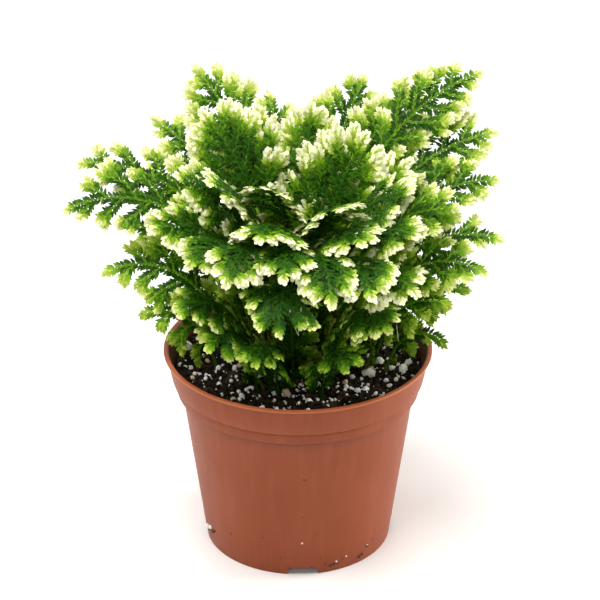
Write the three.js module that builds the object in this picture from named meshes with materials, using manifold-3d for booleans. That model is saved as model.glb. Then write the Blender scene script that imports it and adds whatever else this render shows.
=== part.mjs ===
// A potted fern: a variegated spikemoss ("frosty fern") in a round nursery pot.
// Millimetres, +Z up. The origin is the middle of the pot's foot, on the surface it stands on.
// -Y is the front, the side that the plant is looked at from.

import * as THREE from 'three';
import { mergeVertices } from 'three/addons/utils/BufferGeometryUtils.js';
import Module from 'manifold-3d';

const wasm = await Module();
wasm.setup();

// ---------------------------------------------------------------- driving dimensions

const POT_HEIGHT = 94;
const RIM_RADIUS = 60;
const COLLAR_RADIUS = 58.3; // just under the lip
const COLLAR_FOOT_RADIUS = 56.3;
const COLLAR_DEPTH = 14.1; // from the rim down to the first step
const BAND_RADIUS = 54.7; // the narrow band between the two steps
const BAND_DEPTH = 20; // from the rim down to the second step
const BODY_RADIUS = 52.2; // the tapered body, just under the band
const FOOT_RADIUS = 42;
const WALL = 1.3;
const SEAT_RADIUS = 20; // the middle of the floor, which stands on the surface
const GUTTER_HEIGHT = 4; // the underside of the raised floor round the seat
const POT_SIDES = 36;

const NOTCH_COUNT = 4;
const NOTCH_WIDTH = 13.3;
const NOTCH_HEIGHT = 3.8;
const NOTCH_TURN = 3; // degrees that the front notch stands right of the middle
const DRAIN_RADIUS = 4.5;
const DRAIN_RING_RADIUS = 30;

const SOIL_DEPTH = 8; // from the rim down to the soil's edge
const SOIL_MOUND = 1.5; // how much higher the soil is in the middle
const SOIL_GAP = 0.3; // between the soil and the pot
const SOIL_SIDES = 20;
const GRAIN_COUNT = 12;

const CLUMP_RADIUS = 36; // the stems come out of the soil inside this radius
const GROWTH_LEVEL = POT_HEIGHT - SOIL_DEPTH + 1;
const BACK_LENGTH = 138; // of a stem in the middle of the clump, at the back
const BACK_SHORTENING = 84; // how much shorter a stem is at the clump's edge
const FRONT_LENGTH = 122;
const FRONT_SHORTENING = 52;
const FRONT_EASING = 8; // and how much of that comes evenly from the middle out
const FRONT_BLEND = 0.16; // how softly the back of the clump turns into the front
const EDGE_LEAN = 14; // degrees that a stem at the clump's edge leans out of the soil
const BACK_BEND = 120; // degrees that it has bent outwards at its end
const FRONT_BEND = 158;
const FRONT_BEND_REACH = 0.27; // how soon, from the clump's middle out, the front stems bend
const BACK_BEND_POWER = 1.6; // how late along a stem the bend comes
const FRONT_BEND_POWER = 2.4;
const WIDENING = 1.1; // the clump spreads more sideways than in depth
const DEEPENING = 0.92;
const GROWTH_STEPS = 20;
const STEM_IN_SOIL = 8;
const STEM_HOLE_GAP = 0.35;
const STEM_WIDTH = 1.8;
const STEM_THICKNESS = 1.5;
const BLADE_THICKNESS = 0.7;
const BRANCH_ANGLE = 50; // degrees between the rib and a side branch
const WIDEST = 0.28; // where the blade is widest, as a share of its length
const BLADE_TURN = 40; // degrees that the blades at the sides turn to face the front
const RADIAN = Math.PI / 180;

// Each frond by its tip [x, y, z], then the length and the width of its blade, and its number of side
// branches.
const TALL_FRONDS = [
  [-46, 44, 211, 56, 42, 10],
  [-13, 56, 193, 44, 34, 7],
  [30, 50, 204, 56, 40, 10],
  [46, 40, 198, 43, 33, 7],
  [58, 57, 191, 48, 34, 7],
  [82, 44, 208, 62, 38, 10],
  [88, 28, 186, 50, 40, 7],
  [-65, 44, 186, 44, 30, 7],
  [-42, 18, 200, 58, 52, 10],
  [-17, 40, 187, 50, 38, 7],
  [6, 30, 198, 52, 42, 10],
  [30, 12, 192, 58, 54, 10],
  [49, 8, 181, 54, 42, 7],
  [63, 24, 171, 48, 38, 7],
];
const SIDE_FRONDS = [
  [-97, 18, 175, 62, 38, 10],
  [-102, -2, 161, 56, 40, 10],
  [-77, 30, 140, 44, 32, 7],
  [-85, -8, 134, 56, 40, 7],
  [-69, -12, 115, 44, 32, 6],
  [88, 7, 172, 48, 36, 7],
  [89, -6, 149, 46, 28, 7],
  [81, -22, 141, 46, 34, 7],
  [76, 8, 117, 40, 32, 6],
  [69, -20, 171, 52, 44, 7],
  [65, -28, 129, 40, 32, 6],
  [64, -14, 101, 34, 16, 6],
];
const FRONT_FRONDS = [
  [-52, -18, 186, 46, 36, 7],
  [-38, -36, 191, 46, 38, 7],
  [-14, -46, 193, 44, 36, 7],
  [18, -50, 185, 44, 36, 7],
  [48, -30, 184, 44, 36, 7],
  [-62, -36, 168, 44, 36, 7],
  [-16, -64, 177, 44, 38, 7],
  [27, -60, 173, 42, 36, 7],
  [50, -46, 170, 42, 36, 7],
  [-46, -58, 162, 42, 36, 7],
  [-30, -71, 160, 42, 34, 6],
  [-6, -73, 163, 42, 34, 6],
  [31, -70, 153, 42, 38, 7],
  [14, -77, 153, 40, 34, 6],
  [50, -56, 148, 40, 34, 6],
  [-50, -52, 136, 38, 32, 6],
  [-8, -77, 140, 40, 40, 7],
  [38, -62, 134, 36, 32, 6],
  [-38, -58, 123, 28, 26, 6],
  [-18, -66, 120, 26, 26, 6],
  [20, -64, 116, 24, 24, 6],
];
const BACK_FRONDS = [
  [-36, 68, 176, 50, 42, 7],
  [8, 76, 178, 50, 42, 7],
  [44, 76, 166, 50, 40, 7],
  [-64, 60, 150, 48, 40, 7],
  [-22, 84, 148, 48, 42, 7],
  [22, 86, 142, 48, 42, 7],
  [70, 52, 147, 46, 38, 7],
  [-40, 68, 116, 34, 30, 6],
  [2, 76, 116, 34, 30, 6],
  [42, 66, 116, 34, 30, 6],
];

// ---------------------------------------------------------------- solids and meshes

// A number between 0 and 1 that looks random, and is the same each time for the same seed.
function chance(seed) {
  const wave = Math.sin(seed * 12.9898 + 4.1414) * 43758.5453;
  return wave - Math.floor(wave);
}

function solidOf(geometry, matrix = new THREE.Matrix4()) {
  const bare = geometry.clone().applyMatrix4(matrix);
  bare.deleteAttribute('normal');
  bare.deleteAttribute('uv');
  const merged = mergeVertices(bare, 1e-4);
  return new wasm.Manifold(new wasm.Mesh({
    numProp: 3,
    vertProperties: merged.attributes.position.array,
    triVerts: merged.index.array,
  }));
}

function geometryOf(solid) {
  const mesh = solid.getMesh();
  const geometry = new THREE.BufferGeometry();
  geometry.setAttribute('position', new THREE.BufferAttribute(mesh.vertProperties, 3));
  geometry.setIndex(new THREE.BufferAttribute(mesh.triVerts, 1));
  geometry.computeVertexNormals();
  return geometry;
}

// A profile of [radius, height] pairs, turned about the Z axis.
function turned(profile, sides) {
  const points = profile.map(([radius, height]) => new THREE.Vector2(radius, height));
  return new THREE.LatheGeometry(points, sides).rotateX(Math.PI / 2);
}

function named(name, geometry, color, roughness) {
  const material = new THREE.MeshStandardMaterial({ color, roughness, metalness: 0 });
  const mesh = new THREE.Mesh(geometry, material);
  mesh.name = name;
  return mesh;
}

// ---------------------------------------------------------------- the pot

function bodyRadius(height) {
  const share = height / (POT_HEIGHT - BAND_DEPTH);
  return FOOT_RADIUS + (BODY_RADIUS - FOOT_RADIUS) * share;
}

function notchCutter(index) {
  const half = NOTCH_WIDTH / 2;
  const corner = 1.6;
  const shape = new THREE.Shape();
  shape.moveTo(-half, -2);
  shape.lineTo(half, -2);
  shape.lineTo(half, NOTCH_HEIGHT - corner);
  shape.quadraticCurveTo(half, NOTCH_HEIGHT, half - corner, NOTCH_HEIGHT);
  shape.lineTo(corner - half, NOTCH_HEIGHT);
  shape.quadraticCurveTo(-half, NOTCH_HEIGHT, -half, NOTCH_HEIGHT - corner);
  shape.closePath();
  const settings = { depth: FOOT_RADIUS * 0.3, bevelEnabled: false, curveSegments: 3 };
  const block = new THREE.ExtrudeGeometry(shape, settings);
  block.rotateX(Math.PI / 2);
  block.translate(0, -FOOT_RADIUS * 0.8, 0);
  block.rotateZ((NOTCH_TURN + index * 360 / NOTCH_COUNT) * RADIAN);
  return solidOf(block);
}

function drainCutter(index) {
  const hole = new THREE.CylinderGeometry(DRAIN_RADIUS, DRAIN_RADIUS, 8, 10);
  hole.rotateX(Math.PI / 2);
  hole.translate(0, -DRAIN_RING_RADIUS, GUTTER_HEIGHT + WALL / 2);
  hole.rotateZ((NOTCH_TURN + index * 360 / NOTCH_COUNT) * RADIAN);
  return solidOf(hole);
}

function makePot() {
  const collarFoot = POT_HEIGHT - COLLAR_DEPTH;
  const bandFoot = POT_HEIGHT - BAND_DEPTH;
  const floorTop = GUTTER_HEIGHT + WALL;
  const profile = [
    [0, 0],
    [SEAT_RADIUS, 0],
    [SEAT_RADIUS + 2, GUTTER_HEIGHT],
    [bodyRadius(GUTTER_HEIGHT) - WALL, GUTTER_HEIGHT],
    [FOOT_RADIUS - WALL, 0],
    [FOOT_RADIUS, 0],
    [BODY_RADIUS, bandFoot],
    [BAND_RADIUS - 0.3, bandFoot + 0.8],
    [BAND_RADIUS, collarFoot - 0.6],
    [COLLAR_FOOT_RADIUS, collarFoot],
    [COLLAR_FOOT_RADIUS + 0.9, collarFoot + 4],
    [COLLAR_RADIUS, POT_HEIGHT - 2],
    [RIM_RADIUS, POT_HEIGHT - 1.3],
    [RIM_RADIUS, POT_HEIGHT - 0.3],
    [RIM_RADIUS - 0.4, POT_HEIGHT],
    [COLLAR_RADIUS - 0.2, POT_HEIGHT],
    [COLLAR_RADIUS - WALL, POT_HEIGHT - 2],
    [BAND_RADIUS - WALL + 0.3, collarFoot - 0.6],
    [BODY_RADIUS - WALL, bandFoot - 1],
    [bodyRadius(floorTop) - WALL, floorTop],
    [SEAT_RADIUS + 1, floorTop],
    [SEAT_RADIUS - 1, WALL],
    [0, WALL],
  ];
  let pot = solidOf(turned(profile, POT_SIDES));
  for (let index = 0; index < NOTCH_COUNT; index += 1) {
    pot = pot.subtract(notchCutter(index));
    pot = pot.subtract(drainCutter(index));
  }
  return named('pot', geometryOf(pot), 0xa85f40, 0.62);
}

// ---------------------------------------------------------------- how the clump grows

// The stems fan out from the clump. u and v say where a stem stands in the clump (-1 to 1), and t how far
// along the stem a point is. The place is smooth and never folds over itself, so that no two fronds cross.
function grow(u, v, t) {
  const out = Math.hypot(u, v) + 1e-9;
  const front = 1 / (1 + Math.exp(v / FRONT_BLEND));
  const mix = (back, fore) => back * (1 - front) + fore * front;
  const backLength = BACK_LENGTH - BACK_SHORTENING * out ** 3;
  const frontLength = FRONT_LENGTH - FRONT_EASING * out - FRONT_SHORTENING * out ** 3;
  const length = mix(backLength, frontLength);
  const lean = EDGE_LEAN * out * RADIAN;
  const bend = mix(BACK_BEND * out, FRONT_BEND * (1 - Math.exp(-out / FRONT_BEND_REACH))) * RADIAN;
  const power = mix(BACK_BEND_POWER, FRONT_BEND_POWER);
  const along = Math.max(t, 0);
  const below = Math.min(t, 0) * length;
  let across = below * Math.sin(lean);
  let up = below * Math.cos(lean);
  for (let step = 0; step < GROWTH_STEPS; step += 1) {
    const angle = lean + bend * (along * (step + 0.5) / GROWTH_STEPS) ** power;
    across += Math.sin(angle) * length * along / GROWTH_STEPS;
    up += Math.cos(angle) * length * along / GROWTH_STEPS;
  }
  return new THREE.Vector3(
    CLUMP_RADIUS * u + WIDENING * across * u / out,
    CLUMP_RADIUS * v + DEEPENING * across * v / out,
    GROWTH_LEVEL + up,
  );
}

// How the place changes with u, v and t.
function growth(u, v, t) {
  const step = 1e-3;
  const change = (a, b) => b.sub(a).divideScalar(2 * step);
  return [
    change(grow(u - step, v, t), grow(u + step, v, t)),
    change(grow(u, v - step, t), grow(u, v + step, t)),
    change(grow(u, v, t - step), grow(u, v, t + step)),
  ];
}

// The u, v and t of a frond whose tip is at a given place, by Newton's method.
function stemOf(tip) {
  const guess = new THREE.Vector3(tip.x / 110, tip.y / 110, 0.95);
  for (let round = 0; round < 60; round += 1) {
    const miss = tip.clone().sub(grow(guess.x, guess.y, guess.z));
    const [du, dv, dt] = growth(guess.x, guess.y, guess.z);
    const slope = new THREE.Matrix3(du.x, dv.x, dt.x, du.y, dv.y, dt.y, du.z, dv.z, dt.z);
    guess.add(miss.applyMatrix3(slope.invert()).clampLength(0, 0.15));
  }
  return guess;
}

// A flat chart of one frond: along runs up the stem from the soil, across is the distance from the rib,
// and lift is the height over the blade's middle.
function chartOf(tip) {
  const { x: u, y: v, z: end } = stemOf(tip);
  const length = growth(u, v, 0.5)[2].length();
  const heading = Math.atan2(v, u);
  const turn = heading + (90 + BLADE_TURN * Math.cos(heading)) * RADIAN;
  const du = Math.cos(turn);
  const dv = Math.sin(turn);
  const place = (along, across, lift) => {
    const rib = growth(u, v, along / length);
    const forward = rib[2].clone().normalize();
    const sideways = rib[0].multiplyScalar(du).add(rib[1].multiplyScalar(dv));
    const slip = sideways.dot(forward);
    const spread = sideways.addScaledVector(forward, -slip).length();
    const off = across / spread;
    const at = [u + du * off, v + dv * off, (along - off * slip) / length];
    const here = growth(...at);
    const side = here[0].multiplyScalar(du).add(here[1].multiplyScalar(dv));
    const normal = here[2].cross(side).normalize();
    return grow(...at).addScaledVector(normal, lift);
  };
  return { place, reach: end * length };
}

// ---------------------------------------------------------------- fronds

// Half the width of the stem and of the rib that it runs on as, which thins towards the frond's tip.
function ribAt(along, reach) {
  return STEM_WIDTH / 2 * (1.1 - 0.5 * (along / reach) ** 2);
}

// The outline of one side branch, from the rib out to its tip and back: a leaflet on each side, then the tip.
function branchOutline(start, length, halfWidth, reach) {
  const angle = BRANCH_ANGLE * RADIAN;
  const points = [
    [0.52, -halfWidth],
    [0.57, -0.45 * halfWidth],
    [1, 0],
    [0.68, 0.45 * halfWidth],
    [0.62, halfWidth],
  ].map(([share, off]) => [
    start + share * length * Math.cos(angle) + off * Math.sin(angle),
    share * length * Math.sin(angle) - off * Math.cos(angle),
  ]);
  const [below, above] = [start - 0.6, start + 1.8];
  return [[below, ribAt(below, reach)], ...points, [above, ribAt(above, reach)]];
}

// Triangles of one side branch, by the order of its outline's points.
const BRANCH_FACES = [[0, 1, 2], [2, 3, 4], [4, 5, 6], [0, 2, 4], [0, 4, 6]];

// A whole frond laid flat: its points [along, across], the ring of its outline and its triangles. It is cut
// to the rib between the side branches, with its bare stem below them.
function frondSheet(reach, bladeLength, bladeWidth, branches) {
  const points = [];
  const faces = [];
  const sides = [-1, 1].map((sign) => ({ sign, ring: [], rib: [] }));
  const put = (side, along, across) => {
    points.push([along, side.sign * across]);
    side.ring.push(points.length - 1);
    return points.length - 1;
  };
  const bladeStart = reach - bladeLength;
  const stemSteps = Math.max(1, Math.round(bladeStart / 24));
  const rise = Array.from({ length: stemSteps }, (_, step) => 1 + (bladeStart - 1) * step / stemSteps);
  [-STEM_IN_SOIL, ...rise].forEach((along) => {
    sides.forEach((side) => side.rib.push(put(side, along, ribAt(along, reach))));
  });

  const spacing = 2 * bladeLength / (branches + 1.2);
  for (let branch = 0; branch < branches; branch += 1) {
    const share = (branch + 0.15) / (branches + 1.2);
    const taper = share < WIDEST ? 0.55 + 0.45 * share / WIDEST : ((1 - share) / (1 - WIDEST)) ** 0.7;
    const length = taper * bladeWidth / 2 / Math.sin(BRANCH_ANGLE * RADIAN);
    const halfWidth = Math.min(0.41 * spacing * Math.sin(BRANCH_ANGLE * RADIAN), 0.34 * length);
    const side = sides[branch % 2];
    const outline = branchOutline(bladeStart + bladeLength * share, length, halfWidth, reach);
    const ids = outline.map(([along, across]) => put(side, along, across));
    side.rib.push(ids[0], ids[6]);
    BRANCH_FACES.forEach((face) => {
      const corners = face.map((corner) => ids[corner]);
      faces.push(side.sign < 0 ? corners : corners.reverse());
    });
  }

  sides.forEach((side) => side.rib.push(put(side, reach - 0.08 * bladeLength, 2)));
  points.push([reach, 0]);
  const tip = points.length - 1;
  const [right, left] = sides.map((side) => [...side.rib, tip]);
  let [i, j] = [0, 0];
  while (i + 1 < right.length || j + 1 < left.length) {
    const ahead = (list, at) => (at + 1 < list.length ? points[list[at + 1]][0] : Infinity);
    if (ahead(right, i) <= ahead(left, j)) {
      if (left[j] !== tip) faces.push([right[i], right[i + 1], left[j]]);
      i += 1;
    } else {
      if (right[i] !== tip) faces.push([right[i], left[j + 1], left[j]]);
      j += 1;
    }
  }
  return { points, faces, ring: [...sides[0].ring, tip, ...sides[1].ring.reverse()] };
}

function makeFrond(name, [x, y, z, bladeLength, bladeWidth, branches], color) {
  const { place, reach } = chartOf(new THREE.Vector3(x, y, z));
  const { points, faces, ring } = frondSheet(reach, bladeLength, bladeWidth, branches);
  const bladeStart = reach - bladeLength;
  const halfAt = (along) => (along < bladeStart + 4 ? STEM_THICKNESS : BLADE_THICKNESS) / 2;
  const upper = points.map(([along, across]) => place(along, across, halfAt(along)));
  const lower = points.map(([along, across]) => place(along, across, -halfAt(along)));
  const count = points.length;
  const index = [];
  faces.forEach(([a, b, c]) => {
    index.push(a, b, c);
    index.push(count + c, count + b, count + a);
  });
  ring.forEach((point, at) => {
    const next = ring[(at + 1) % ring.length];
    index.push(next, point, count + point);
    index.push(next, count + point, count + next);
  });
  const corners = [...upper, ...lower];
  const geometry = new THREE.BufferGeometry().setFromPoints(corners);
  geometry.setIndex(signedVolume(corners, index) > 0 ? index : index.reverse());
  geometry.computeVertexNormals();
  return named(name, geometry, color, 0.55);
}

function signedVolume(corners, index) {
  let volume = 0;
  for (let face = 0; face < index.length; face += 3) {
    const [a, b, c] = [0, 1, 2].map((corner) => corners[index[face + corner]]);
    volume += a.dot(b.clone().cross(c)) / 6;
  }
  return volume;
}

// ---------------------------------------------------------------- the soil

function soilHeight(radius) {
  const share = radius / RIM_RADIUS;
  return POT_HEIGHT - SOIL_DEPTH + SOIL_MOUND * (1 - share * share);
}

// A plain slanted hole for one stem, a little deeper than the stem reaches.
function stemHole(tip) {
  const { x: u, y: v } = stemOf(tip);
  const foot = grow(u, v, -0.001).sub(grow(u, v, 0)).normalize();
  const radius = Math.hypot(STEM_WIDTH, STEM_THICKNESS) / 2 + 0.15 + STEM_HOLE_GAP;
  const depth = STEM_IN_SOIL + 2 * STEM_HOLE_GAP;
  const hole = new THREE.CylinderGeometry(radius, radius, depth + 6, 5);
  const matrix = new THREE.Matrix4().compose(
    grow(u, v, 0).addScaledVector(foot, (depth - 6) / 2),
    new THREE.Quaternion().setFromUnitVectors(new THREE.Vector3(0, 1, 0), foot),
    new THREE.Vector3(1, 1, 1),
  );
  return solidOf(hole, matrix);
}

// White perlite grains, sunk half into the soil, where there is room between the stems.
function grains(stems) {
  const solids = [];
  for (let seed = 1; solids.length < GRAIN_COUNT; seed += 1) {
    const radius = 50 * Math.sqrt(0.2 + 0.8 * chance(seed));
    const turn = 2 * Math.PI * chance(seed + 0.5);
    const size = 1.6 + 1.5 * chance(seed + 0.25) ** 2;
    const middle = new THREE.Vector3(radius * Math.cos(turn), radius * Math.sin(turn), 0);
    const clear = stems.every((stem) => Math.hypot(stem.x - middle.x, stem.y - middle.y) > size + 3.5);
    if (clear) {
      middle.z = soilHeight(radius) + size * 0.25;
      const grain = new THREE.IcosahedronGeometry(size, 0);
      const matrix = new THREE.Matrix4().compose(
        middle,
        new THREE.Quaternion().setFromEuler(new THREE.Euler(turn, seed, 0)),
        new THREE.Vector3(1.2, 1, 0.8),
      );
      solids.push(solidOf(grain, matrix));
      stems.push(middle);
    }
  }
  return solids;
}

function makeSoil(tips) {
  const floorTop = GUTTER_HEIGHT + WALL + SOIL_GAP;
  const inner = (height) => bodyRadius(height) - WALL - SOIL_GAP;
  const bandFoot = POT_HEIGHT - BAND_DEPTH - 1;
  const collarFoot = POT_HEIGHT - COLLAR_DEPTH;
  const edge = POT_HEIGHT - SOIL_DEPTH;
  const edgeRadius = COLLAR_FOOT_RADIUS - WALL - SOIL_GAP + 0.2;
  const profile = [
    [0, WALL + SOIL_GAP],
    [SEAT_RADIUS - 1 - SOIL_GAP, WALL + SOIL_GAP],
    [SEAT_RADIUS + 1 - SOIL_GAP, floorTop],
    [inner(floorTop), floorTop],
    [inner(bandFoot) - 0.2, bandFoot],
    [BAND_RADIUS - WALL - SOIL_GAP, collarFoot],
    [edgeRadius, edge],
    [edgeRadius * 0.6, soilHeight(edgeRadius * 0.6)],
    [0, soilHeight(0)],
  ];
  let soil = solidOf(turned(profile, SOIL_SIDES));
  const stems = tips.map((tip) => {
    const { x: u, y: v } = stemOf(tip);
    return grow(u, v, 0);
  });
  grains(stems).forEach((grain) => {
    soil = soil.add(grain);
  });
  tips.forEach((tip) => {
    soil = soil.subtract(stemHole(tip));
  });
  return named('soil', geometryOf(soil), 0x231a14, 0.95);
}

// ---------------------------------------------------------------- the whole plant

const plant = new THREE.Group();
const fronds = [...TALL_FRONDS, ...SIDE_FRONDS, ...FRONT_FRONDS, ...BACK_FRONDS];
plant.add(makePot());
plant.add(makeSoil(fronds.map(([x, y, z]) => new THREE.Vector3(x, y, z))));
fronds.forEach((frond, index) => {
  const name = `frond_${String(index + 1).padStart(2, '0')}`;
  const light = Math.min(1, Math.max(0, (frond[2] - 110) / 90));
  const color = new THREE.Color(0x2f6b2b).lerp(new THREE.Color(0xa9c46a), light);
  plant.add(makeFrond(name, frond, color));
});

export default plant;
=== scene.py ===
"""A potted fern: a variegated spikemoss ("frosty fern") in a terracotta-coloured nursery pot.

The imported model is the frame. This script adds the looks: fine fronds with all their leaves, loose potting
soil with perlite, the moulded pot, the materials, the light and the camera. Lengths are in millimetres and
become metres when a mesh is made.
"""
import functools
import itertools
import math
from collections import namedtuple
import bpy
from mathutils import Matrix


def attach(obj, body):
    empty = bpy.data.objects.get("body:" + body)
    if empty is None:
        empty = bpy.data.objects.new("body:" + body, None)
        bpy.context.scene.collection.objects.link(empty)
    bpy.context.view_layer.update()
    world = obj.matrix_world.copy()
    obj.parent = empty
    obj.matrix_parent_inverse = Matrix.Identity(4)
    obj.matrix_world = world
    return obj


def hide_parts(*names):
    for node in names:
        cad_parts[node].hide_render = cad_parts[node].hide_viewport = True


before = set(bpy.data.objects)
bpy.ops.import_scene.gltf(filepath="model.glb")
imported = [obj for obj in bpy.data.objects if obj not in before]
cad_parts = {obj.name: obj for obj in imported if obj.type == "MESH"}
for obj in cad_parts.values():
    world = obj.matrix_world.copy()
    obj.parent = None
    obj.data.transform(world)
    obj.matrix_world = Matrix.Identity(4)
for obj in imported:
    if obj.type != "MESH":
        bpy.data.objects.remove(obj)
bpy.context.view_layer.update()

from types import SimpleNamespace

import bpy
import numpy as np

MM = 0.001

# ---------- small helpers


def unit(vectors):
    return vectors / (np.linalg.norm(vectors, axis=-1, keepdims=True) + 1e-12)


def dot(a, b):
    return np.sum(a * b, axis=-1, keepdims=True)


def smooth(share):
    share = np.clip(share, 0, 1)
    return share * share * (3 - 2 * share)


def add_object(name, data):
    """A new object in the scene, with this data."""
    thing = bpy.data.objects.new(name, data)
    bpy.context.collection.objects.link(thing)
    return thing


def mesh_object(name, points, faces):
    """A new object in the scene, from points in millimetres."""
    mesh = bpy.data.meshes.new(name)
    mesh.from_pydata((np.array(points) * MM).tolist(), [], faces)
    mesh.update()
    return add_object(name, mesh)


def points_of(mesh):
    """A mesh's points in millimetres."""
    points = np.empty(len(mesh.vertices) * 3)
    mesh.vertices.foreach_get("co", points)
    return points.reshape(-1, 3) / MM


# ---------- the camera

POT_HEIGHT = 94.0
CAMERA_DISTANCE = 1200.0  # from the middle of the rim
CAMERA_ELEVATION = math.radians(27.96)
CAMERA_PITCH = math.radians(26.98)
CAMERA_SIDE = 0.9  # how far right of the pot's axis the camera stands
CAMERA_LENS = 160.9
SENSOR_WIDTH = 36.0


def make_camera():
    """The photograph's view: a long lens from the front, about 28 degrees above the horizon."""
    data = bpy.data.cameras.new("camera")
    data.lens = CAMERA_LENS
    data.sensor_width = SENSOR_WIDTH
    data.clip_start = 0.05
    data.clip_end = 30.0
    camera = add_object("camera", data)
    back = CAMERA_DISTANCE * math.cos(CAMERA_ELEVATION)
    up = POT_HEIGHT + CAMERA_DISTANCE * math.sin(CAMERA_ELEVATION)
    camera.location = (CAMERA_SIDE * MM, -back * MM, up * MM)
    camera.rotation_euler = (math.pi / 2 - CAMERA_PITCH, 0, 0)
    bpy.context.scene.camera = camera


make_camera()

# ---------- pieces made of many small items

CELL_MARGIN = 0.06


class Heap:
    """Triangles gathered for one piece: items of one form at a time, each with its own cell of the map."""

    def __init__(self):
        self.lots = []
        self.sharp = []
        self.count = 0
        self.items = 0

    def add(self, points, faces, marks, corners, sharp=None):
        """points and marks are (items, n, 3), faces (m, 3), corners (m, 3, 2) and sharp edges (e, 2)."""
        items, size, _ = points.shape
        offsets = self.count + size * np.arange(items)[:, None, None]
        cells = np.repeat(self.items + np.arange(items), len(faces))
        maps = np.tile(corners, (items, 1, 1))
        lot = (points.reshape(-1, 3), (faces + offsets).reshape(-1, 3), marks.reshape(-1, 3), maps, cells)
        self.lots.append(lot)
        if sharp is not None:
            self.sharp.append((sharp + offsets).reshape(-1, 2))
        self.count += items * size
        self.items += items

    def piece(self, name, material, slot, node=None):
        """Makes the object, which rides on the part and may stand for a node of it."""
        points, faces, marks, maps, cells = map(np.concatenate, zip(*self.lots))
        thing = mesh_object(name, points, faces.tolist())
        mesh = thing.data
        mesh.shade_smooth()
        mesh.materials.append(material)
        self.mark_sharp(mesh)

        colour = np.ones((self.count, 4), np.float32)
        colour[:, :3] = marks
        layer = mesh.color_attributes.new("leaf", "FLOAT_COLOR", "POINT")
        layer.data.foreach_set("color", colour.ravel())

        across = math.ceil(math.sqrt(self.items))
        corner = np.stack([cells % across, cells // across], -1)[:, None, :]
        flat = (corner + CELL_MARGIN + (1 - 2 * CELL_MARGIN) * maps) / across
        uv = mesh.uv_layers.new(name="OFBake")
        uv.uv.foreach_set("vector", flat.astype(np.float32).ravel())

        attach(thing, "root")
        if node:
            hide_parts(node)

    def mark_sharp(self, mesh):
        """Marks the edges between the upper and the under side of each leaf."""
        if not self.sharp:
            return
        edges = np.empty(len(mesh.edges) * 2, np.int32)
        mesh.edges.foreach_get("vertices", edges)
        edges = np.sort(edges.reshape(-1, 2), axis=1).astype(np.int64)
        wanted = np.sort(np.concatenate(self.sharp), axis=1).astype(np.int64)
        keys = edges[:, 0] * self.count + edges[:, 1]
        chosen = np.isin(keys, wanted[:, 0] * self.count + wanted[:, 1])
        layer = mesh.attributes.new("sharp_edge", "BOOLEAN", "EDGE")
        layer.data.foreach_set("value", chosen)


@functools.cache
def tube_form(steps, sides):
    """The triangles of a closed tube of so many rings, and the map corners of each."""
    faces = []
    maps = []
    for step, side in itertools.product(range(steps - 1), range(sides)):
        a, b, c, d = (step, side), (step, side + 1), (step + 1, side + 1), (step + 1, side)
        for face in ((a, b, c), (a, c, d)):
            faces.append([ring * sides + turn % sides for ring, turn in face])
            maps.append([(ring / (steps - 1), turn / sides) for ring, turn in face])
    top, first, last = (steps - 1) * sides, steps * sides, steps * sides + 1
    for side in range(sides):
        after = (side + 1) % sides
        faces += [(first, after, side), (last, top + side, top + after)]
        maps += [((0, 0), (0, 0.02), (0.02, 0)), ((1, 1), (1, 0.98), (0.98, 1))]
    return np.array(faces), np.array(maps, float)


def tube(heap, points, radii, marks, sides, left, normals):
    """Adds a round stem along points, closed at both ends. left and normals are its cross directions."""
    turn = 2 * np.pi * np.arange(sides) / sides
    ring = np.cos(turn)[None, :, None] * left[:, None] + np.sin(turn)[None, :, None] * normals[:, None]
    rings = points[:, None] + ring * radii[:, None, None]
    corners = np.concatenate([rings.reshape(-1, 3), points[:1], points[-1:]])
    marked = np.concatenate([np.repeat(marks, sides, axis=0), marks[:1], marks[-1:]])
    faces, maps = tube_form(len(points), sides)
    heap.add(corners[None], faces, marked[None], maps)


# ---------- materials


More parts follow.
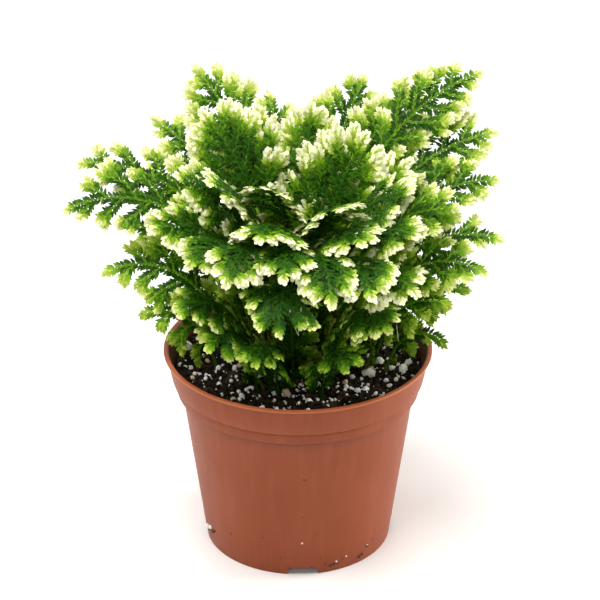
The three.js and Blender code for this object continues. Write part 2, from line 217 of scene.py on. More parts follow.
class Shader:
    """A material made of nodes, with short calls for the ones that repeat."""

    def __init__(self, name):
        self.material = bpy.data.materials.new(name)
        self.material.use_nodes = True
        self.tree = self.material.node_tree
        self.tree.nodes.clear()
        self.surface = self.tree.nodes.new("ShaderNodeBsdfPrincipled")
        output = self.tree.nodes.new("ShaderNodeOutputMaterial")
        self.put(output.inputs[0], self.surface.outputs[0])
        self.place = self.node("ShaderNodeTexCoord", {}, "Object")

    def put(self, socket, value):
        """Links a socket to another one, or sets it to a number or to a colour (red, green, blue)."""
        if isinstance(value, bpy.types.NodeSocket):
            self.tree.links.new(value, socket)
        else:
            socket.default_value = (*value, 1) if isinstance(value, tuple) else value

    def node(self, kind, inputs, output=0, **settings):
        """Makes a node with these inputs and settings, and returns the output."""
        made = self.tree.nodes.new(kind)
        for key, value in settings.items():
            setattr(made, key, value)
        for key, value in inputs.items():
            self.put(made.inputs[key], value)
        return made.outputs[output]

    def noise(self, scale, detail=2.0, place=None, roughness=0.5):
        inputs = {"Scale": scale, "Detail": detail, "Roughness": roughness, "Vector": place or self.place}
        return self.node("ShaderNodeTexNoise", inputs, "Fac")

    def mark(self, name, output):
        return self.node("ShaderNodeAttribute", {}, output, attribute_name=name)

    def math(self, operation, a, b):
        return self.node("ShaderNodeMath", {0: a, 1: b}, operation=operation)

    def shifted(self, value, source, amount):
        """The value, moved up and down by a source that runs from 0 to 1."""
        shift = self.math("MULTIPLY", self.math("SUBTRACT", source, 0.5), amount)
        return self.math("ADD", value, shift)

    def spread(self, value, low, high, to_low=0.0, to_high=1.0):
        inputs = {"Value": value, "From Min": low, "From Max": high, "To Min": to_low, "To Max": to_high}
        return self.node("ShaderNodeMapRange", inputs, interpolation_type="SMOOTHSTEP")

    def mix(self, share, a, b):
        return self.node("ShaderNodeMix", {"Factor": share, 6: a, 7: b}, 2, data_type="RGBA")

    def ramp(self, value, stops):
        made = self.tree.nodes.new("ShaderNodeValToRGB")
        made.color_ramp.interpolation = "EASE"
        for index, (position, colour) in enumerate(stops):
            stop = made.color_ramp.elements[index] if index < 2 else made.color_ramp.elements.new(position)
            stop.position = position
            stop.color = (*colour, 1)
        self.put(made.inputs[0], value)
        return made.outputs[0]

    def bump(self, height, distance, strength=1.0):
        inputs = {"Height": height, "Distance": distance, "Strength": strength}
        self.set(Normal=self.node("ShaderNodeBump", inputs))

    def set(self, **values):
        """Sets the surface's inputs, whose names are written with underscores."""
        for key, value in values.items():
            self.put(self.surface.inputs[key.replace("_", " ")], value)


# From the darkest green to cream.
LEAF_TONES = (
    (0.0, (0.008, 0.044, 0.003)),
    (0.20, (0.027, 0.108, 0.004)),
    (0.42, (0.130, 0.300, 0.008)),
    (0.62, (0.360, 0.500, 0.048)),
    (0.80, (0.730, 0.780, 0.300)),
    (0.98, (0.920, 0.940, 0.630)),
)


def leaf_material():
    """Leaves and stems. The mark's red is the tone, from dark green to cream, green a brightness that varies
    at random and is lowered by painted shade low in the clump, and blue the place along the leaf."""
    shader = Shader("leaves")
    mark = shader.mark("leaf", "Color")
    tone, shade, along = (shader.node("ShaderNodeSeparateColor", {0: mark}, part) for part in range(3))
    grain = shader.noise(900.0, 3.0)
    patch = shader.noise(140.0, 2.0)
    tone = shader.shifted(tone, along, 0.10)
    tone = shader.shifted(tone, grain, 0.16)
    tone = shader.shifted(tone, patch, 0.14)
    bright = shader.math("MAXIMUM", shader.math("ADD", shade, 0.42), 0.2)
    inputs = {"Value": bright, "Color": shader.ramp(tone, LEAF_TONES)}
    shader.set(
        Base_Color=shader.node("ShaderNodeHueSaturation", inputs),
        Roughness=shader.spread(grain, 0.25, 0.75, 0.38, 0.55),
        Specular_IOR_Level=0.09,
    )
    shader.bump(grain, 0.0002, 0.6)
    return shader.material


def soil_material():
    """Dark peat with browner patches."""
    shader = Shader("potting_soil")
    fine = shader.noise(1100.0, 5.0, roughness=0.7)
    coarse = shader.noise(160.0, 4.0)
    dark = shader.mix(shader.spread(fine, 0.35, 0.75), (0.004, 0.003, 0.002), (0.046, 0.030, 0.018))
    shader.set(
        Base_Color=shader.mix(shader.spread(coarse, 0.52, 0.72), dark, (0.085, 0.052, 0.028)),
        Roughness=shader.spread(fine, 0.3, 0.7, 0.80, 0.98),
        Specular_IOR_Level=0.12,
    )
    shader.bump(fine, 0.0008)
    return shader.material


def grain_material(name, low, high):
    """A pale porous grain, dusted with soil in its hollows."""
    shader = Shader(name)
    fine = shader.noise(1500.0, 4.0, roughness=0.65)
    coarse = shader.noise(420.0, 3.0)
    pale = shader.mix(coarse, low, high)
    stain = shader.spread(fine, 0.64, 0.82, 0.0, 0.30)
    shader.set(Base_Color=shader.mix(stain, pale, (0.10, 0.075, 0.05)), Roughness=0.85)
    shader.bump(fine, 0.0004)
    return shader.material


def pot_material():
    """Matt moulded plastic: fine grain, faint flow marks down the wall, a few dark specks, and painted shade
    and a painted highlight on the lip where the pot's marks say so."""
    shader = Shader("terracotta_plastic")
    fine = shader.noise(2200.0, 3.0)
    cloud = shader.noise(26.0, 4.0)
    stretched = shader.node("ShaderNodeMapping", {"Scale": [1.0, 1.0, 0.08], "Vector": shader.place})
    flow = shader.noise(230.0, 3.0, place=stretched)
    base = shader.mix(shader.spread(cloud, 0.3, 0.7), (0.232, 0.045, 0.011), (0.257, 0.055, 0.016))
    base = shader.mix(shader.spread(flow, 0.45, 0.75, 0.0, 0.22), base, (0.35, 0.095, 0.045))
    speck = shader.spread(shader.noise(310.0, 1.0), 0.765, 0.80)
    base = shader.mix(shader.math("MULTIPLY", speck, 0.75), base, (0.10, 0.035, 0.02))
    # Painted shade: darker brown where the pot's mark says, on the inner wall and below the wall's edges.
    painted_shade = shader.mark("painted_shade", "Fac")
    painted_shade_colour = shader.mix(shader.spread(fine, 0.3, 0.7), (0.050, 0.022, 0.013), (0.110, 0.045, 0.026))
    base = shader.mix(shader.math("MULTIPLY", painted_shade, 0.85), base, painted_shade_colour)
    # Painted highlight: a lighter orange on the lip's outer edge.
    lip_highlight = shader.mark("lip_highlight", "Fac")
    base = shader.mix(shader.math("MULTIPLY", lip_highlight, 0.8), base, (0.46, 0.125, 0.045))
    shader.set(
        Base_Color=base,
        Roughness=shader.spread(fine, 0.3, 0.7, 0.42, 0.56),
        Specular_IOR_Level=0.24,
    )
    shader.bump(shader.math("ADD", fine, shader.math("MULTIPLY", flow, 0.8)), 0.00012, 0.8)
    return shader.material


LEAF = leaf_material()
SOIL = soil_material()
PERLITE = grain_material("perlite", (0.95, 0.93, 0.88), (1.0, 0.98, 0.94))
PEBBLE = grain_material("pebble", (0.50, 0.38, 0.22), (0.74, 0.61, 0.41))
ROOT = grain_material("root", (0.40, 0.40, 0.26), (0.62, 0.60, 0.44))
CRUMB = grain_material("crumb", (0.030, 0.014, 0.008), (0.170, 0.080, 0.040))
TERRACOTTA = pot_material()

# ---------- how the clump grows

CLUMP_RADIUS = 36.0
CLUMP_REACH = 110.0  # about how far out the outermost tips are
SOIL_DEPTH = 8.0  # from the rim down to the soil
GROWTH_LEVEL = POT_HEIGHT - SOIL_DEPTH + 1
BACK_LENGTH, BACK_SHORTENING = 138.0, 84.0
FRONT_LENGTH, FRONT_SHORTENING, FRONT_EASING = 122.0, 52.0, 8.0
FRONT_BLEND = 0.16
EDGE_LEAN = math.radians(14)
BACK_BEND = math.radians(120)
FRONT_BEND = math.radians(158)
FRONT_BEND_REACH = 0.27
BACK_BEND_POWER, FRONT_BEND_POWER = 1.6, 2.4
WIDENING, DEEPENING = 1.1, 0.92
GROWTH_STEPS = 20
MOST_MOVES, LONGEST_MOVE, SMALLEST_MOVE = 60, 0.15, 1e-7
BLADE_TURN = math.radians(40)


def grow(u, v, t):
    """The place that is t along the stem which stands at u, v in the clump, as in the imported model."""
    u, v, t = np.broadcast_arrays(u, v, t)
    out = np.hypot(u, v) + 1e-9
    front = 1 / (1 + np.exp(v / FRONT_BLEND))
    length = (BACK_LENGTH - BACK_SHORTENING * out**3) * (1 - front)
    length = length + (FRONT_LENGTH - FRONT_EASING * out - FRONT_SHORTENING * out**3) * front
    lean = EDGE_LEAN * out
    bend = BACK_BEND * out * (1 - front) + FRONT_BEND * (1 - np.exp(-out / FRONT_BEND_REACH)) * front
    power = BACK_BEND_POWER * (1 - front) + FRONT_BEND_POWER * front
    along = np.maximum(t, 0)
    below = np.minimum(t, 0) * length
    across = below * np.sin(lean)
    up = below * np.cos(lean)
    for step in range(GROWTH_STEPS):
        angle = lean + bend * (along * (step + 0.5) / GROWTH_STEPS) ** power
        across = across + np.sin(angle) * length * along / GROWTH_STEPS
        up = up + np.cos(angle) * length * along / GROWTH_STEPS
    x = CLUMP_RADIUS * u + WIDENING * across * u / out
    y = CLUMP_RADIUS * v + DEEPENING * across * v / out
    return np.stack([x, y, GROWTH_LEVEL + up], -1)


def growth(u, v, t):
    """How the place changes with u, v and t."""
    step = 1e-3
    return (
        (grow(u + step, v, t) - grow(u - step, v, t)) / (2 * step),
        (grow(u, v + step, t) - grow(u, v - step, t)) / (2 * step),
        (grow(u, v, t + step) - grow(u, v, t - step)) / (2 * step),
    )


def stem_of(tip):
    """The u, v and t of a frond whose tip is at a given place, by Newton's method with short moves."""
    guess = np.array([tip[0] / CLUMP_REACH, tip[1] / CLUMP_REACH, 0.95])
    for _ in range(MOST_MOVES):
        slope = np.stack(growth(*guess), -1)
        move = np.linalg.solve(slope, tip - grow(*guess))
        size = np.linalg.norm(move)
        guess = guess + move * min(1.0, LONGEST_MOVE / (size + 1e-12))
        if size < SMALLEST_MOVE:
            break
    return guess


class Chart:
    """A frond laid flat: along runs up the stem from the soil, across is the distance to the rib's left,
    and lift the height over the blade's upper side."""

    def __init__(self, tip):
        self.u, self.v, end = stem_of(np.array(tip, float))
        self.length = np.linalg.norm(growth(self.u, self.v, 0.5)[2])
        self.reach = end * self.length
        heading = math.atan2(self.v, self.u)
        turn = heading + math.pi / 2 + BLADE_TURN * math.cos(heading)
        self.du, self.dv = math.cos(turn), math.sin(turn)

    def place(self, along, across, lift):
        """The points there, and the upward direction at each."""
        rib = growth(self.u, self.v, along / self.length)
        forward = unit(rib[2])
        sideways = rib[0] * self.du + rib[1] * self.dv
        slip = dot(sideways, forward)
        spread = np.linalg.norm(sideways - slip * forward, axis=-1)
        off = across / spread
        u, v = self.u + self.du * off, self.v + self.dv * off
        t = (along - off * slip[..., 0]) / self.length
        here = growth(u, v, t)
        normal = unit(np.cross(here[2], here[0] * self.du + here[1] * self.dv))
        return grow(u, v, t) + normal * lift[..., None], normal


# ---------- leaves

LEAF_THICKNESS = 0.16


def leaf_form(side, ridge):
    """A small closed leaf, 1 long and 2 wide: its points (along, across, height), its triangles, their map
    corners and its edge. side is one edge from base to tip, and ridge where the midrib's points are."""
    rim = [(0.0, 0.0), *[(x, -y) for x, y in side], (1.0, 0.0), *reversed(side)]
    count, peaks = len(rim), len(ridge)
    edge = [(index, (index + 1) % count) for index in range(count)]
    nearest = []
    for start, end in edge:
        middle = (rim[start][0] + rim[end][0]) / 2
        nearest.append(count + min(range(peaks), key=lambda peak: abs(ridge[peak] - middle)))
    top = []
    for start, end in edge:
        top.append((start, end, nearest[start]))
        if nearest[end] != nearest[start]:
            top.append((end, nearest[end], nearest[start]))
    top = np.array(top)
    under = (top + peaks * (top >= count))[:, [0, 2, 1]]
    faces = np.concatenate([top, under])
    points = [(x, y, 0) for x, y in rim] + [(x, 0, height) for height in (0.5, -0.5) for x in ridge]
    points = np.array(points)
    corners = points[faces][..., :2] * (1, 0.24)
    corners[..., 1] += np.repeat((0.25, 0.75), len(top))[:, None]
    return points, faces, corners, np.array(edge)


LATERAL_FORM = leaf_form([(0.08, 0.55), (0.36, 1.0), (0.72, 0.66)], [0.32, 0.70])
TIP_FORM = leaf_form([(0.24, 0.80), (0.76, 0.90)], [0.5])
MEDIAN_FORM = leaf_form([(0.28, 1.0), (0.66, 0.62)], [0.45])


def add_leaves(heap, form, base, direction, normal, length, width, curl, fold, tone, shade):
    """Adds leaves of one form, each from its base along its direction, with its upper side along normal.
    Every argument after the form has one row for each leaf."""
    shape, faces, corners, edge = form
    direction = unit(direction)
    normal = unit(normal - dot(normal, direction) * direction)
    left = np.cross(normal, direction)
    x, y, height = shape.T[:, None]
    half = width / 2
    rise = -curl * length * x**2 - fold * np.abs(y) * half + height * LEAF_THICKNESS
    points = base[:, None]
    for way, amount in ((direction, x * length), (left, y * half), (normal, rise)):
        points = points + way[:, None] * amount[..., None]
    marks = np.stack(np.broadcast_arrays(tone, shade, x), -1)
    heap.add(points, faces, marks, corners, edge)


# ---------- fronds

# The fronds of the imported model, in its order: the tip (x, y, z), and the length and width of the blade.
TALL_FRONDS = [
    (-46, 44, 211, 56, 42), (-13, 56, 193, 44, 34), (30, 50, 204, 56, 40), (46, 40, 198, 43, 33),
    (58, 57, 191, 48, 34), (82, 44, 208, 62, 38), (88, 28, 186, 50, 40), (-65, 44, 186, 44, 30),
]
FAN_FRONDS = [
    (-42, 18, 200, 58, 52), (-17, 40, 187, 50, 38), (6, 30, 198, 52, 42), (30, 12, 192, 58, 54),
    (49, 8, 181, 54, 42), (63, 24, 171, 48, 38),
]
SIDE_FRONDS = [
    (-97, 18, 175, 62, 38), (-102, -2, 161, 56, 40), (-77, 30, 140, 44, 32), (-85, -8, 134, 56, 40),
    (-69, -12, 115, 44, 32), (88, 7, 172, 48, 36), (89, -6, 149, 46, 28), (81, -22, 141, 46, 34),
    (76, 8, 117, 40, 32), (69, -20, 171, 52, 44), (65, -28, 129, 40, 32), (64, -14, 101, 34, 16),
]
FRONT_FRONDS = [
    (-52, -18, 186, 46, 36), (-38, -36, 191, 46, 38), (-14, -46, 193, 44, 36), (18, -50, 185, 44, 36),
    (48, -30, 184, 44, 36), (-62, -36, 168, 44, 36), (-16, -64, 177, 44, 38), (27, -60, 173, 42, 36),
    (50, -46, 170, 42, 36), (-46, -58, 162, 42, 36), (-30, -71, 160, 42, 34), (-6, -73, 163, 42, 34),
    (31, -70, 153, 42, 38), (14, -77, 153, 40, 34), (50, -56, 148, 40, 34),
]
LOW_FRONDS = [
    (-50, -52, 136, 38, 32), (-8, -77, 140, 40, 40), (38, -62, 134, 36, 32), (-38, -58, 123, 28, 26),
    (-18, -66, 120, 26, 26), (20, -64, 116, 24, 24),
]
BACK_FRONDS = [
    (-36, 68, 176, 50, 42), (8, 76, 178, 50, 42), (44, 76, 166, 50, 40), (-64, 60, 150, 48, 40),
    (-22, 84, 148, 48, 42), (22, 86, 142, 48, 42), (70, 52, 147, 46, 38), (-40, 68, 116, 34, 30),
    (2, 76, 116, 34, 30), (42, 66, 116, 34, 30),
]

# What the fronds in one part of the clump have in common: how pale the tips are, how far in from them the
# cream reaches, how the edges droop, how far apart the side branches stand, how unevenly they rise, the
# height of the first spray on the stem, the tones of ribs and leaves, and whether the branches end in
# broad leaves.
Kind = namedtuple("Kind", "fronds pale zone droop spacing loose first rib_tone leaf_tone rounded")
KINDS = (
    Kind(TALL_FRONDS, 0.78, 7.6, 0.05, 5.7, 0.10, 14.0, 0.38, 0.175, False),
    Kind(FAN_FRONDS, 1.08, 9.5, 0.10, 4.8, 0.06, 14.0, 0.24, 0.155, True),
    Kind(SIDE_FRONDS, 0.76, 6.5, 0.12, 6.8, 0.16, 9.0, 0.37, 0.19, False),
    Kind(FRONT_FRONDS, 1.06, 5.9, 0.34, 5.4, 0.12, 4.0, 0.22, 0.125, True),
    Kind(LOW_FRONDS, 0.66, 4.4, 0.30, 5.4, 0.16, 2.0, 0.18, 0.11, True),
    Kind(BACK_FRONDS, 0.80, 7.5, 0.15, 6.6, 0.16, 10.0, 0.33, 0.15, False),
)

GREEN_LEVEL, ROUNDED_RISE, POINTED_RISE = 106.0, 28.0, 60.0  # where tips turn paler, and over what height
STEM_IN_SOIL = 8.0
STEM_RADIUS, BRANCH_RADIUS = 0.75, 0.36
BRANCH_ANGLE, BRANCH_CURL = math.radians(50), math.radians(20)
RIB_MARGIN, TIP_MARGIN = 0.9, 1.3  # from the end of a rib or side branch to the outline of its leaves
WIDEST = 0.28  # where a blade is widest, as a share of its length
FORK_ANGLE = math.radians(29)
SHORTEST_FORKED, SHORTEST_TWICE_FORKED = 8.0, 15.0
SPRAY_PALE = 0.35
STEP = 1.5  # along a branch, between the points that it is drawn through

PITCH, TIP_PITCH, STEM_PITCH = 1.5, 0.85, 3.3  # between one pair of leaves and the next
BARE_STEM, BARE_BRANCH = 12.0, 0.4
LEAF_LENGTH, LEAF_WIDTH, LEAF_ANGLE = 3.7, 1.6, math.radians(54)
MEDIAN_LENGTH, MEDIAN_WIDTH, MEDIAN_ANGLE = 2.5, 0.95, math.radians(13)
TIP_REACH = 3.4  # how far in from a tip the leaves are smaller and point forward
FRESH_REACH = 2.4  # how far in the fresh green reaches, in zones of cream
# Painted shade low in the clump: the height where it starts on leaves and on stems, and how deep it grows.
LEAF_SHADE_LEVEL, STEM_SHADE_LEVEL, SHADE_DEPTH = 116.0, 118.0, 26.0


def shade_below(level, points):
    """How deep points lie in the clump's own shade: 0 down to a level, and 1 at SHADE_DEPTH below it."""
    return smooth((level - points[:, 2:]) / SHADE_DEPTH)


# A branch on a frond's chart: its points, and at each the heading and how far the branch goes on. The
# order is 0 for the rib with its stem, 1 for a side branch and 2 for a fork.
Branch = namedtuple("Branch", "along across lift heading ahead order pale")


class Frond:
    """One frond: its branches are laid out on its flat chart, and then leaves are set along each."""

    def __init__(self, spec, kind, seed):
        *tip, self.blade, self.width = spec
        self.kind = kind
        self.chart = Chart(tip)
        self.reach = self.chart.reach - RIB_MARGIN
        self.random = np.random.default_rng(seed)
        high = smooth((tip[2] - GREEN_LEVEL) / (ROUNDED_RISE if kind.rounded else POINTED_RISE))
        self.pale = kind.pale * self.random.uniform(0.86, 1.04) * (0.25 + 0.75 * high)
        self.zone = kind.zone * self.random.uniform(0.75, 1.12)
        self.blade_start = self.reach - self.blade
        self.plan = []
        self.heap = Heap()

    def place(self, along, across, lift):
        """The points there on the drooping blade, and the upward direction at each."""
        drop = self.kind.droop * np.abs(across) ** 1.6 / (self.width / 2) ** 0.6
        return self.chart.place(along, across, lift - drop)

    def branch(self, start, heading, side, length, rise, order, pale):
        """Lays out a branch that curves back towards the frond's tip. start is (along, across, lift)."""
        steps = max(3, round(length / STEP))
        step = length / steps
        share = np.linspace(0, 1, steps + 1)
        turn = heading - side * BRANCH_CURL * share
        along = start[0] + step * np.concatenate([[0], np.cumsum(np.cos(turn[:-1]))])
        across = start[1] + step * np.concatenate([[0], np.cumsum(np.sin(turn[:-1]))])
        lift = start[2] + rise * share * length
        made = Branch(along, across, lift, turn, length * (1 - share), order, pale)
        self.plan.append(made)
        return made

    def forks(self, length):
        """Where a side branch of this length forks, as shares of it."""
        if length <= SHORTEST_FORKED:
            return ()
        if length < SHORTEST_TWICE_FORKED:
            return (0.55,)
        return (0.36, 0.66) if self.kind.rounded else (0.42, 0.70)

    def side_branch(self, at, side, length, rise, pale):
        """A side branch that starts on the rib, with its forks on one side and the other in turn."""
        heading = side * BRANCH_ANGLE + self.random.uniform(-0.09, 0.09)
        line = self.branch((at, 0.0, 0.0), heading, side, length, rise, 1, pale)
        fork_side = side if self.random.random() < 0.6 else -side
        for share in self.forks(length):
            index = round(share * (len(line.along) - 1))
            start = (line.along[index], line.across[index], line.lift[index])
            heading = line.heading[index] + fork_side * FORK_ANGLE
            fork = (1 - share) * length * self.random.uniform(0.72, 0.92) + 1.5
            slope = rise + self.random.uniform(-1, 1) * self.kind.loose
            self.branch(start, heading, fork_side, fork, slope, 2, pale)
            fork_side = -fork_side

    def lay_out(self):
        """The rib, the side branches of the blade, and the smaller sprays on the stem below it."""
        steps = int(self.reach / STEP)
        along = np.linspace(-STEM_IN_SOIL, self.reach, steps + 1)
        zero = np.zeros(steps + 1)
        self.plan.append(Branch(along, zero, zero, zero, self.reach - along, 0, self.pale))
        self.lay_out_blade()
        self.lay_out_sprays()

    def lay_out_blade(self):
        loose = self.kind.loose
        count = round(self.blade / self.kind.spacing)
        for index in range(count):
            share = (index + 0.15) / (count + 1.2)
            taper = 0.55 + 0.45 * share / WIDEST if share < WIDEST else ((1 - share) / (1 - WIDEST)) ** 0.7
            length = taper * self.width / 2 / math.sin(BRANCH_ANGLE) - TIP_MARGIN
            length *= self.random.uniform(1.06 - 1.4 * loose, 1.06)
            rise = self.random.uniform(-loose, loose)
            at = self.blade_start + self.blade * share
            self.side_branch(at, 1 if index % 2 else -1, length, rise, self.pale)

    def lay_out_sprays(self):
        spacing = 3.4 + 0.28 * self.kind.first
        at = self.kind.first * self.random.uniform(1.0, 1.4)
        side = 1 if self.random.random() < 0.5 else -1
        while at < self.blade_start - 2:
            length = 9.5 + 7.5 * at / self.blade_start * self.random.uniform(0.7, 1.1)
            rise = self.random.uniform(-0.45, 0.45)
            self.side_branch(at, side, length, rise, SPRAY_PALE * self.pale)
            at += spacing * self.random.uniform(0.8, 1.2)
            side = -side

    def dress(self):
        """Puts the branches in space, and sets the stems and the leaves along them."""
        columns = list(zip(*self.plan))[:3]
        points, normals = self.place(*map(np.concatenate, columns))
        ends = np.cumsum([len(branch.along) for branch in self.plan])[:-1]
        for branch, *here in zip(self.plan, np.split(points, ends), np.split(normals, ends)):
            self.dress_branch(branch, *here)

    def dress_branch(self, branch, points, normals):
        forward = unit(np.gradient(points, axis=0))
        normals = unit(normals - dot(normals, forward) * forward)
        left = np.cross(normals, forward)
        radii = self.add_stem(branch, points, left, normals)
        row = self.leaf_row(branch, points, forward, left, normals, radii)
        if row.size:
            self.add_laterals(branch, row)
            self.add_medians(branch, row)

    def add_stem(self, branch, points, left, normals):
        """Draws the branch as a thin tapered stem, and returns its radii."""
        count = len(points)
        if branch.order == 0:
            radii = STEM_RADIUS * (1 - 0.62 * np.clip(branch.along / self.reach, 0, 1))
            keep = np.union1d(np.arange(0, count, 2), count - 1)
            sides = 8
        else:
            scale = 0.8 if branch.order == 2 else 1.0
            radii = BRANCH_RADIUS * scale * (1 - 0.5 * np.linspace(0, 1, count))
            keep = np.arange(count)
            sides = 5
        ahead = branch.ahead[:, None]
        pale = smooth(1 - ahead / (self.zone * 0.8)) * branch.pale
        fresh = smooth(1 - ahead / (FRESH_REACH * self.zone))
        tone = self.kind.rib_tone + 0.14 * fresh + 0.24 * pale
        # Painted shade on the stems low in the clump.
        shade = 0.45 - 0.42 * shade_below(STEM_SHADE_LEVEL, points)
        marks = np.hstack([tone, shade, np.full_like(tone, 0.4)])
        tube(self.heap, points[keep], radii[keep], marks[keep], sides, left[keep], normals[keep])
        return radii[:, None]

    def leaf_row(self, branch, points, forward, left, normals, radii):
        """The places of a branch's leaves, from its tip down, with the directions and the looks there."""
        ahead, low, share = self.stations(branch)

        def at(rows):
            return rows[low] * (1 - share) + rows[low + 1] * share

        points = at(points)
        near_tip = smooth(1 - ahead / TIP_REACH)
        on_stem = (branch.order == 0) & (ahead > self.blade)
        grown = (1 - 0.20 * near_tip) * (0.88 if branch.order == 2 else 1.0)
        fresh = smooth(1 - ahead / (FRESH_REACH * self.zone))
        return SimpleNamespace(
            size=len(ahead),
            points=points,
            forward=unit(at(forward)),
            left=unit(at(left)),
            normals=unit(at(normals)),
            radii=at(radii),
            near_tip=near_tip,
            on_stem=on_stem,
            grown=np.where(on_stem, 1.2, grown),
            edge=smooth(1 - ahead / self.zone),
            fresh=fresh,
            broad=(ahead < 0.6 * self.zone) & self.kind.rounded,
            # dim lowers the brightness away from the tips, and adds painted shade to leaves low in the
            # clump.
            dim=0.28 * (1 - fresh) + 0.52 * shade_below(LEAF_SHADE_LEVEL, points),
        )

    def add_laterals(self, branch, row):
        """The leaves at both sides of a branch, one side after the other."""
        random = self.random
        column = (row.size, 1)
        for side in (-1, 1):
            angle = LEAF_ANGLE * (1 - 0.66 * row.near_tip) + 0.12 * row.on_stem
            angle = angle + random.normal(0, 0.10, column)
            tilt = random.normal(-0.02, 0.15, column) - 0.10 * row.near_tip
            roll = random.normal(0, 0.18, column) + 0.12
            direction = np.cos(angle) * row.forward + side * np.sin(angle) * row.left + tilt * row.normals
            normal = row.normals + side * roll * row.left
            slide = 0.5 * TIP_PITCH if side > 0 else 0.0
            base = row.points + row.forward * slide + side * row.left * row.radii * 0.6
            tone = self.kind.leaf_tone + 0.20 * row.fresh + branch.pale * 0.80 * row.edge
            tone = np.clip(tone + random.normal(0, 0.045, column), 0, 1)
            length = LEAF_LENGTH * row.grown * random.uniform(0.86, 1.1, column)
            width = LEAF_WIDTH * random.uniform(0.9, 1.1, column) * np.where(row.broad, 1.22, 1.0)
            curl = random.uniform(0.02, 0.16, column)
            fold = random.uniform(0.10, 0.34, column)
            shade = random.uniform(0.3, 0.9, column) - row.dim
            leaves = (base, direction, normal, length, width, curl, fold, tone, shade)
            broad = row.broad[:, 0]
            for form, group in ((TIP_FORM, broad), (LATERAL_FORM, ~broad)):
                if group.any():
                    add_leaves(self.heap, form, *(values[group] for values in leaves))

    def add_medians(self, branch, row):
        """The small leaves on the upper side, which lean to one side and the other in turn."""
        random = self.random
        column = (row.size, 1)
        side = np.where(np.arange(row.size) % 2, 1.0, -1.0)[:, None]
        angle = MEDIAN_ANGLE + random.normal(0, 0.07, column)
        direction = np.cos(angle) * row.forward + side * np.sin(angle) * row.left + 0.13 * row.normals
        base = row.points + side * row.radii * 0.5 * row.left + row.radii * 0.8 * row.normals
        tone = self.kind.rib_tone + 0.14 * row.fresh + branch.pale * 0.34 * row.edge
        tone = np.clip(tone + random.normal(0, 0.04, column), 0, 1)
        length = MEDIAN_LENGTH * np.minimum(row.grown, 1) * random.uniform(0.9, 1.1, column)
        width = MEDIAN_WIDTH * random.uniform(0.9, 1.1, column)
        curl = random.uniform(0.0, 0.10, column)
        fold = random.uniform(0.15, 0.4, column)
        shade = random.uniform(0.4, 0.9, column) - row.dim
        leaves = (base, direction, row.normals, length, width, curl, fold, tone, shade)
        add_leaves(self.heap, MEDIAN_FORM, *leaves)

    def stations(self, branch):
        """Where a branch's leaves stand: how far each is from its tip, and between which of its points."""
        end = self.reach - BARE_STEM if branch.order == 0 else branch.ahead[0] - BARE_BRANCH
        places = []
        place = 0.25
        while place < end:
            places.append(place)
            pitch = TIP_PITCH + (PITCH - TIP_PITCH) * min(1, place / 6)
            place += STEM_PITCH if branch.order == 0 and place > self.blade else pitch
        places = np.array(places)
        where = np.interp(-places, -branch.ahead, np.arange(len(branch.ahead)))
        low = np.minimum(where.astype(int), len(branch.ahead) - 2)
        return places[:, None], low, (where - low)[:, None]


# Pale rhizophores and a fine hair that hang from the fronds: each by its frond, its place along and across
# the blade, its length, how far it drifts sideways, and its radius.
THREADS = (
    (43, 92.0, 4.0, 12.0, 0.30, 0.20),
    (43, 89.0, 8.5, 12.5, -0.10, 0.17),
    (25, 38.0, 1.0, 15.0, 0.08, 0.22),
    (25, 46.0, -3.0, 11.0, 0.10, 0.16),
    (36, 74.0, -3.0, 16.0, -0.12, 0.15),
    (41, 66.0, 3.0, 18.0, 0.16, 0.15),
    (21, 52.0, 2.0, 17.0, 0.10, 0.14),
    (18, 74.0, 9.0, 13.0, -0.35, 0.07),
)


def make_threads(fronds):
    """Hangs the threads as one piece."""
    heap = Heap()
    share = np.linspace(0, 1, 12)
    marks = np.full((len(share), 3), 0.5)
    for number, along, across, length, drift, radius in THREADS:
        start, _ = fronds[number].place(np.array([along]), np.array([across]), np.array([-0.3]))
        wave = 0.05 * np.sin(5 * share + number)
        points = start + length * np.stack([drift * share**1.6, wave, -share], -1)
        forward = unit(np.gradient(points, axis=0))
        left = unit(np.cross(forward, (0.0, 1.0, 0.0)))
        tube(heap, points, radius * (1 - 0.6 * share), marks, 6, left, np.cross(forward, left))
    heap.piece("rhizophores", ROOT, "leaves")


def make_fronds():
    """Makes every frond, and returns them by their numbers."""
    made = {}
    specs = [(spec, kind) for kind in KINDS for spec in kind.fronds]
    for number, (spec, kind) in enumerate(specs, 1):
        frond = Frond(spec, kind, seed=number)
        frond.lay_out()
        frond.dress()
        frond.heap.piece(f"leafy_frond_{number:02d}", LEAF, "leaves", f"frond_{number:02d}")
        made[number] = frond
    return made


make_threads(make_fronds())

# ---------- the pot

RIM_RADIUS = 60.0
COLLAR_RADIUS, COLLAR_FOOT_RADIUS, COLLAR_FOOT = 58.3, 56.3, POT_HEIGHT - 14.1
BAND_RADIUS, BAND_FOOT = 54.7, POT_HEIGHT - 20.0
BODY_RADIUS, FOOT_RADIUS = 52.2, 42.0
WALL = 1.3
SEAT_RADIUS = 20.0
GUTTER_HEIGHT = 4.0
FLOOR_TOP = GUTTER_HEIGHT + WALL
MOULD_LINE = 9.5
NOTCH_COUNT, NOTCH_WIDTH, NOTCH_HEIGHT, NOTCH_TURN = 4, 13.3, 3.8, math.radians(3)
NOTCH_CORNER, NOTCH_FLARE = 1.5, 1.4
DRAIN_RADIUS, DRAIN_RING_RADIUS = 4.5, 30.0
POT_SIDES, SOIL_SIDES = 240, 180
SHARP_ANGLE = math.radians(42)


def body_radius(height):
    return FOOT_RADIUS + (BODY_RADIUS - FOOT_RADIUS) * height / BAND_FOOT


